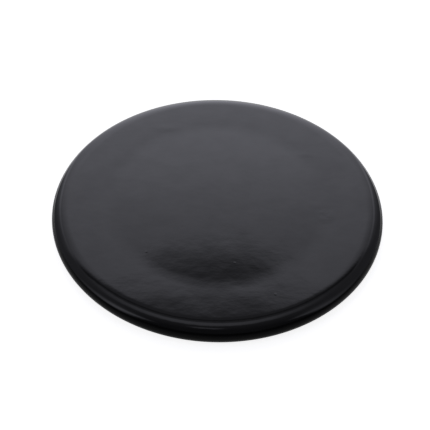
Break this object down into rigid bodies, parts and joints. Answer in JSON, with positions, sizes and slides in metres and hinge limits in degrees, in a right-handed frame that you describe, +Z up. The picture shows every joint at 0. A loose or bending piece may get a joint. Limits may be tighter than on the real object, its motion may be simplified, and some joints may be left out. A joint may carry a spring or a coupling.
{
  "type": "gas burner cap",
  "caption": "Round metal cap with a shallow crown, a nearly flat land and a rounded edge, hollow underneath and enamelled glossy black, that lies on a gas burner's flame spreader.",
  "frame": {"origin": "centre of the foot of the rim, on the surface that the cap lies on", "axes": "Z up along the axis of the cap; X and Y lie in the plane of the foot, and the cap is the same all the way round"},
  "size_m": [0.1, 0.1, 0.0068],
  "materials": {
    "black_enamel": "glossy black vitreous enamel on metal"
  },
  "bodies": {
    "root": {"burner_cap": "black_enamel"}
  },
  "joints": []
}
